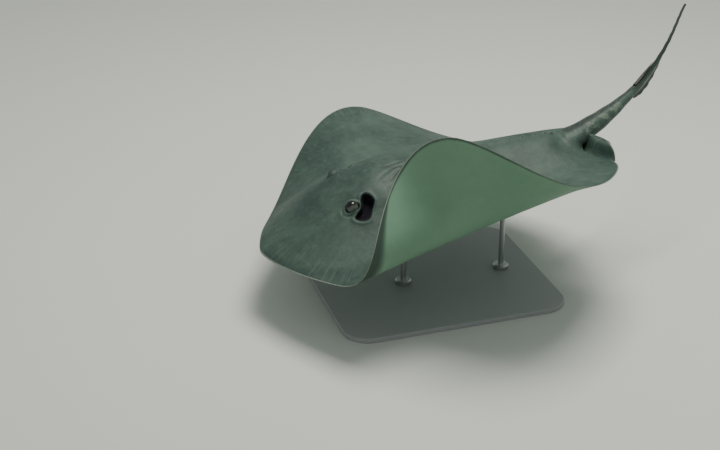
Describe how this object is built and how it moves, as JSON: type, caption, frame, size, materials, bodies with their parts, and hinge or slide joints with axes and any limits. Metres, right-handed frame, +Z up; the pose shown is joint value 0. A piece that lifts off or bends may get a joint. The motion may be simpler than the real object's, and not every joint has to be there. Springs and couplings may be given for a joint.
{
  "type": "stingray",
  "caption": "Life-size southern stingray model, swimming with its left fin rolled up and tail swung aside, on a flat base with two rods.",
  "frame": {"origin": "centre of the underside of the stand's base, on the floor, under the widest line of the disc", "axes": "+Z up, snout towards -Y and tail towards +Y, the animal's left side and its raised fin towards +X"},
  "size_m": [0.8827, 1.3539, 0.5107],
  "materials": {
    "skin": "satin, moist",
    "sting": "smooth horn",
    "eye": "wet gloss",
    "stand_plate": "satin paint",
    "stand_rod": "brushed"
  },
  "bodies": {
    "root": {"head": "skin", "trunk": "skin", "pectoral_left": "skin", "pectoral_right": "skin", "pelvic_left": "skin", "pelvic_right": "skin", "tail_base": "skin", "tail_middle": "skin", "tail_whip": "skin", "tail_fold": "skin", "tail_sting": "sting", "eye_left": "eye", "eye_right": "eye", "stand_base": "stand_plate", "stand_rod_front": "stand_rod", "stand_rod_rear": "stand_rod"}
  },
  "joints": []
}
